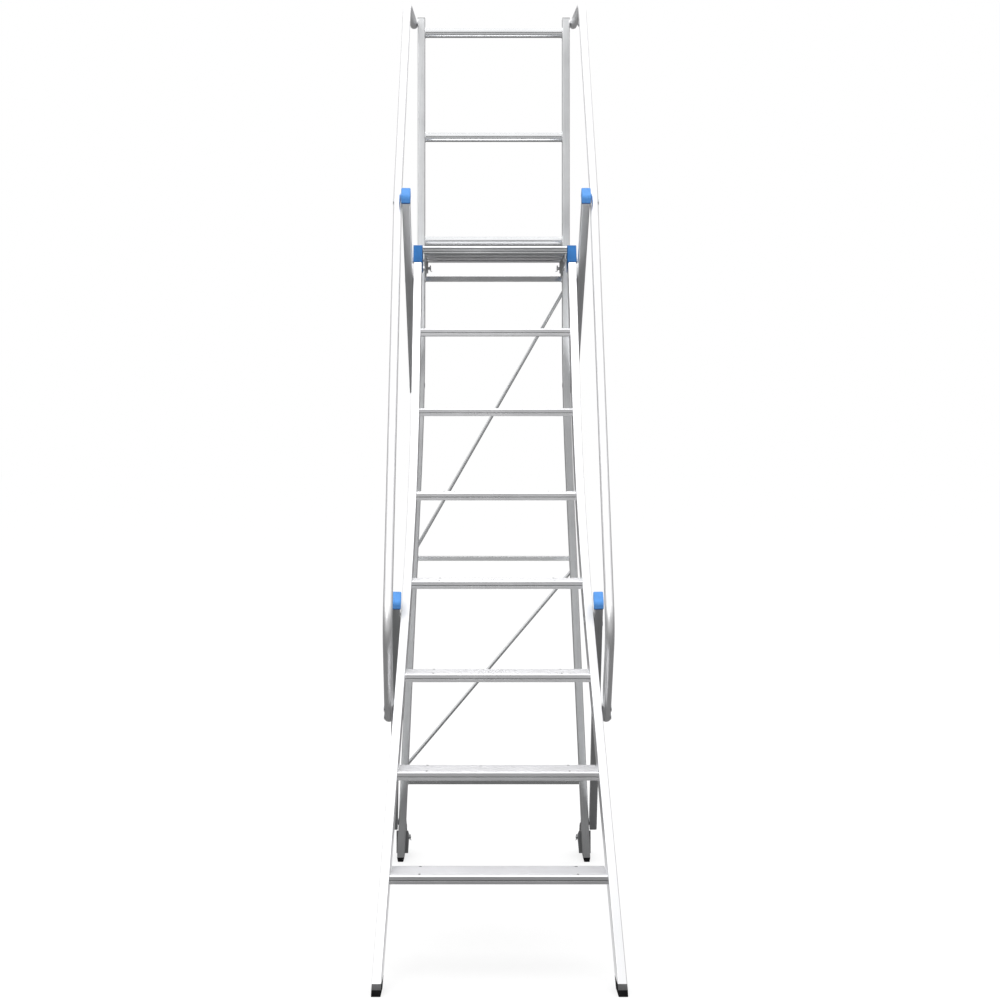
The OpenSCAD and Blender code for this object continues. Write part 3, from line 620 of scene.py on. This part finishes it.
for i in range(1, TREADS + 1):
    node = "tread_%d" % i
    tread = eased_copy(node, TREAD_CORNER, TREAD_STEPS)
    # Painted shade in the grooves of the tread's front
    paint_groove_shade(tread, groove_shade_metal)
    stand_for(tread, node, "frame", "tread_aluminium")
for i in range(1, PLANKS + 1):
    node = "plank_%d" % i
    stand_for(eased_copy(node, TREAD_CORNER, TREAD_STEPS), node, "platform", "tread_aluminium")
nosing = eased_copy("platform_nosing", TREAD_CORNER, TREAD_STEPS)
# Painted shade in the grooves of the nosing's front
paint_groove_shade(nosing, groove_shade_metal)
stand_for(nosing, "platform_nosing", "platform", "tread_aluminium")


# Bolts with the low heads that the tubes show


def loose_parts(shape):
    """Groups of vertices that edges join."""
    left = set(shape.verts)
    while left:
        part = set()
        waiting = [left.pop()]
        while waiting:
            vert = waiting.pop()
            part.add(vert)
            near = {edge.other_vert(vert) for edge in vert.link_edges} & left
            left -= near
            waiting.extend(near)
        yield part


def middle_of(part, axis):
    places = [vert.co[axis] for vert in part]
    return (min(places) + max(places)) / 2


def low_bolts(node, keep):
    """Copy of a side's bolts with low heads and nuts, but for the top one's outer head; spacers stay."""
    mesh, shape = merged_copy(node)
    highest = max(vert.co.z for vert in shape.verts)
    for part in loose_parts(shape):
        x, y, z = (middle_of(part, axis) for axis in range(3))
        reach = {vert: math.hypot(vert.co.y - y, vert.co.z - z) for vert in part}
        shank = min(reach.values())
        wide = sorted({round(vert.co.x, 5) for vert in part if reach[vert] > HEAD_WIDER * shank})
        if len(wide) != 4:
            continue
        is_top = max(vert.co.z for vert in part) == highest
        for vert in part:
            for seat, way in ((wide[2], 1), (wide[1], -1)):
                outer_top = is_top and way * x > 0
                if way * (vert.co.x - seat) > 0 and not outer_top:
                    vert.co.x = seat + keep * (vert.co.x - seat)
    return finish_copy(node + "_low", mesh, shape)


for side in SIDES:
    node = "frame_bolts_" + side
    stand_for(low_bolts(node, HEAD_SHARE), node, "frame", "steel_fastener")


# Rivets and weld ripples: domes that a node tree sets on points


def dome_tree(name):
    """Domes on the points of a mesh, each facing the way that its point's attribute gives."""
    tree = bpy.data.node_groups.new(name, "GeometryNodeTree")
    sockets = tree.interface
    sockets.new_socket(name="Geometry", in_out="INPUT", socket_type="NodeSocketGeometry")
    for label, value in (("Head Radius", 5 * MM), ("Head Height", 2 * MM)):
        sockets.new_socket(name=label, in_out="INPUT", socket_type="NodeSocketFloat").default_value = value
    sockets.new_socket(name="Facets", in_out="INPUT", socket_type="NodeSocketInt").default_value = 16
    sockets.new_socket(name="Finish", in_out="INPUT", socket_type="NodeSocketMaterial")
    sockets.new_socket(name="Geometry", in_out="OUTPUT", socket_type="NodeSocketGeometry")
    given = tree.nodes.new("NodeGroupInput")
    out = tree.nodes.new("NodeGroupOutput")
    ball = tree.nodes.new("GeometryNodeMeshUVSphere")
    tree.links.new(given.outputs["Facets"], ball.inputs["Segments"])
    tree.links.new(math_node(tree, "DIVIDE", given.outputs["Facets"], 2), ball.inputs["Rings"])
    tree.links.new(given.outputs["Head Radius"], ball.inputs["Radius"])
    flat = tree.nodes.new("ShaderNodeCombineXYZ")
    flat.inputs["X"].default_value = 1
    flat.inputs["Y"].default_value = 1
    ratio = math_node(tree, "DIVIDE", given.outputs["Head Height"], given.outputs["Head Radius"])
    tree.links.new(ratio, flat.inputs["Z"])
    squash = tree.nodes.new("GeometryNodeTransform")
    tree.links.new(ball.outputs["Mesh"], squash.inputs["Geometry"])
    tree.links.new(flat.outputs["Vector"], squash.inputs["Scale"])
    smooth = tree.nodes.new("GeometryNodeSetShadeSmooth")
    tree.links.new(squash.outputs["Geometry"], smooth.inputs["Geometry"])
    facing = tree.nodes.new("GeometryNodeInputNamedAttribute")
    facing.data_type = "FLOAT_VECTOR"
    facing.inputs["Name"].default_value = "facing"
    align = tree.nodes.new("FunctionNodeAlignRotationToVector")
    align.axis = "Z"
    tree.links.new(facing.outputs["Attribute"], align.inputs["Vector"])
    place = tree.nodes.new("GeometryNodeInstanceOnPoints")
    tree.links.new(given.outputs["Geometry"], place.inputs["Points"])
    tree.links.new(smooth.outputs["Geometry"], place.inputs["Instance"])
    tree.links.new(align.outputs["Rotation"], place.inputs["Rotation"])
    real = tree.nodes.new("GeometryNodeRealizeInstances")
    tree.links.new(place.outputs["Instances"], real.inputs["Geometry"])
    paint = tree.nodes.new("GeometryNodeSetMaterial")
    tree.links.new(real.outputs["Geometry"], paint.inputs["Geometry"])
    tree.links.new(given.outputs["Finish"], paint.inputs["Material"])
    tree.links.new(paint.outputs["Geometry"], out.inputs["Geometry"])
    return tree


domes = dome_tree("domes_on_points")


def socket_id(tree, label):
    return next(i.identifier for i in tree.interface.items_tree if i.in_out == "INPUT" and i.name == label)


def set_domes(name, body, spots, head, facets, finish):
    """Domes on spots, which are points with the direction that each head faces."""
    mesh = bpy.data.meshes.new(name + "_points")
    mesh.from_pydata([tuple(point) for point, _ in spots], [], [])
    facing = mesh.attributes.new("facing", "FLOAT_VECTOR", "POINT")
    for i, (_, way) in enumerate(spots):
        facing.data[i].vector = way
    seed = link(bpy.data.objects.new(name + "_seed", mesh))
    maker = seed.modifiers.new("domes", "NODES")
    maker.node_group = domes
    maker[socket_id(domes, "Head Radius")] = head[0]
    maker[socket_id(domes, "Head Height")] = head[1]
    maker[socket_id(domes, "Facets")] = facets
    maker[socket_id(domes, "Finish")] = finish
    graph = bpy.context.evaluated_depsgraph_get()
    made = bpy.data.meshes.new_from_object(seed.evaluated_get(graph))
    made.name = name
    bpy.data.objects.remove(seed)
    piece = link(bpy.data.objects.new(name, made))
    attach(piece, body)


tread_spots = []
for i in range(1, TREADS + 1):
    low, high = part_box("tread_%d" % i)
    for share in TREAD_RIVET_ROWS:
        y = low[1] + TREAD_DEPTH * share
        for x in (low[0] + TREAD_RIVET_IN, high[0] - TREAD_RIVET_IN):
            tread_spots.append((Vector((x, y, high[2] - TREAD_PLATE_DROP)), UPRIGHT))
# Tread rivet heads in dark steel that carries painted shade
set_domes("tread_rivets", "frame", tread_spots, TREAD_RIVET, RIVET_FACETS, rivet_steel_and_painted_shade)

bracket_spots = []
for side, sign in zip(SIDES, (-1, 1)):
    low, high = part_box("pivot_bracket_" + side)
    x = low[0] if sign > 0 else high[0]
    for back in BRACKET_RIVET_BACK:
        for z in (low[2] + BRACKET_RIVET_EDGE, high[2] - BRACKET_RIVET_EDGE):
            bracket_spots.append((Vector((x, high[1] - back, z)), (-sign, 0, 0)))
set_domes("bracket_rivets", "frame", bracket_spots, BRACKET_RIVET, RIVET_FACETS, zinc)


def round_outline(half_y, half_z):
    """Steps round a rung's end: offsets from its middle, each with its outward direction."""
    count = int(2 * math.pi * half_y / WELD_STEP)
    turns = [2 * math.pi * i / count for i in range(count)]
    ways = [(math.cos(turn), math.sin(turn)) for turn in turns]
    return [(half_y * way_y, half_z * way_z, way_y, way_z) for way_y, way_z in ways]


def side_steps(half):
    """Offsets along one side of a crossbar's end."""
    count = max(2, int(2 * half / WELD_STEP))
    return [-half + 2 * half * i / count for i in range(count + 1)]


def box_outline(half_y, half_z):
    """Steps round a crossbar's end: offsets from its middle, each with its outward direction."""
    level = [(run, sign * half_z, 0, sign) for run in side_steps(half_y) for sign in (-1, 1)]
    upright = [(sign * half_y, run, sign, 0) for run in side_steps(half_z) for sign in (-1, 1)]
    return level + upright


weld_spots = []
for node in WELDED_RUNGS + CROSSBARS:
    low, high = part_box(node)
    middle = (Vector(low) + Vector(high)) / 2
    half_y = (high[1] - low[1]) / 2
    half_z = (high[2] - low[2]) / 2
    outline_of = round_outline if node in WELDED_RUNGS else box_outline
    for x, sign in ((low[0], 1), (high[0], -1)):
        for y, z, out_y, out_z in outline_of(half_y, half_z):
            facing = Vector((sign, out_y, out_z)).normalized()
            weld_spots.append((Vector((x + sign * WELD_OUT, middle[1] + y, middle[2] + z)), facing))
set_domes("weld_ripples", "frame", weld_spots, WELD_RIPPLE, WELD_FACETS, rung_metal)


# Floor, light and camera


def seen_or_lit(tree, kind, seen, lit):
    """One shader for what the camera sees and another for what the metal reflects."""
    path = tree.nodes.new("ShaderNodeLightPath")
    mix = tree.nodes.new("ShaderNodeMixShader")
    tree.links.new(path.outputs["Is Camera Ray"], mix.inputs[0])
    tree.links.new(lit, mix.inputs[1])
    tree.links.new(seen, mix.inputs[2])
    tree.links.new(mix.outputs[0], tree.nodes[kind].inputs["Surface"])


def grey_ramp(tree, value, ends, stops):
    """Shades of grey along a value from 0 to 1."""
    ramp = tree.nodes.new("ShaderNodeValToRGB")
    for element, shade in zip(ramp.color_ramp.elements, ends):
        element.color = (shade, shade, shade, 1)
    for stop, shade in stops:
        ramp.color_ramp.elements.new(stop).color = (shade, shade, shade, 1)
    tree.links.new(value, ramp.inputs[0])
    return ramp.outputs["Color"]


def part_of_place(tree, coordinates, axis):
    """One axis of a set of texture coordinates."""
    place = tree.nodes.new("ShaderNodeTexCoord")
    split = tree.nodes.new("ShaderNodeSeparateXYZ")
    tree.links.new(place.outputs[coordinates], split.inputs[0])
    return split.outputs[axis]


def build_floor():
    """A white floor that glows a little to the camera, and is darker in the metal near the object."""
    mesh = bpy.data.meshes.new("studio_floor")
    corners = [(x * FLOOR_HALF, y * FLOOR_HALF, 0) for x, y in ((-1, -1), (1, -1), (1, 1), (-1, 1))]
    mesh.from_pydata(corners, [], [(0, 1, 2, 3)])
    floor = link(bpy.data.objects.new("studio_floor", mesh))
    material = bpy.data.materials.new("floor_paint")
    material.use_nodes = True
    tree = material.node_tree
    tree.nodes.remove(tree.nodes["Principled BSDF"])
    seen = tree.nodes.new("ShaderNodeBsdfDiffuse")
    seen.inputs["Color"].default_value = (FLOOR_SEEN, FLOOR_SEEN, FLOOR_SEEN, 1)
    glow = tree.nodes.new("ShaderNodeEmission")
    soften = tree.nodes.new("ShaderNodeMixShader")
    soften.inputs[0].default_value = FLOOR_GLOW
    tree.links.new(seen.outputs[0], soften.inputs[1])
    tree.links.new(glow.outputs[0], soften.inputs[2])
    lit = tree.nodes.new("ShaderNodeBsdfDiffuse")
    run = span_node(tree, part_of_place(tree, "Object", "Y"), *FLOOR_REACH)
    tree.links.new(grey_ramp(tree, run, FLOOR_LIT_ENDS, FLOOR_LIT_STOPS), lit.inputs["Color"])
    seen_or_lit(tree, "Material Output", soften.outputs[0], lit.outputs[0])
    mesh.materials.append(material)


def build_world():
    """A white backdrop to the camera, and a sky that brightens upwards in the metal."""
    world = bpy.data.worlds.new("studio_white")
    world.use_nodes = True
    tree = world.node_tree
    seen = tree.nodes["Background"]
    seen.inputs["Color"].default_value = (1, 1, 1, 1)
    seen.inputs["Strength"].default_value = 1.0
    lit = tree.nodes.new("ShaderNodeBackground")
    rise = span_node(tree, part_of_place(tree, "Generated", "Z"), -1.0, 1.0)
    tree.links.new(grey_ramp(tree, rise, SKY_ENDS, SKY_STOPS), lit.inputs["Color"])
    lit.inputs["Strength"].default_value = SKY_STRENGTH
    seen_or_lit(tree, "World Output", seen.outputs[0], lit.outputs[0])
    scene.world = world


def light_group(name, pieces, state):
    """Pieces that a light reaches, or that it leaves out."""
    group = bpy.data.collections.new(name)
    for piece in pieces:
        group.objects.link(piece)
    for entry in group.collection_objects:
        entry.light_linking.link_state = state
    return group


def soft_light(name, place, target, size, power, group):
    data = bpy.data.lights.new(name, "AREA")
    data.shape = "RECTANGLE"
    data.size, data.size_y = size
    data.energy = power
    light = link(bpy.data.objects.new(name, data))
    light.visible_camera = False
    light.location = place
    light.rotation_euler = (Vector(target) - Vector(place)).to_track_quat("-Z", "Y").to_euler()
    light.light_linking.receiver_collection = group


build_floor()
build_world()
stile_pieces = [tubes["front_stile_" + side] for side in SIDES]
round_bars = [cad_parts[node] for node in WELDED_RUNGS + ("diagonal_upper", "diagonal_lower")]
caps = light_group("plastic_caps", cap_pieces, "INCLUDE")
stiles = light_group("front_stiles", stile_pieces, "INCLUDE")
all_but_rungs = light_group("round_rungs", round_bars, "EXCLUDE")
soft_light("overhead_panel", (0.0, -0.6, 6.0), (0, 0, 1.5), size=(5.0, 5.0), power=160, group=all_but_rungs)
soft_light("front_panel", (-2.4, -5.5, 3.6), (0, 0, 1.3), size=(3.0, 3.0), power=50, group=all_but_rungs)
for side, x in zip(SIDES, (-4.0, 4.0)):
    soft_light("cap_fill_" + side, (x, -3.5, 0.6), (0, 0, 1.5), size=(2.0, 2.0), power=190, group=caps)
soft_light("stile_fill", (0, 0.05, 0.012), (0, 0.05, 1), size=(0.7, 1.5), power=1.9, group=stiles)
scene.view_settings.view_transform = "Standard"

camera_data = bpy.data.cameras.new("picture_camera")
camera_data.lens = CAMERA_LENS
camera_data.sensor_width = CAMERA_SENSOR
camera_data.shift_x, camera_data.shift_y = CAMERA_SHIFT
camera = link(bpy.data.objects.new("picture_camera", camera_data))
camera.location = CAMERA_PLACE
camera.rotation_euler = (math.radians(90), 0, 0)
scene.camera = camera
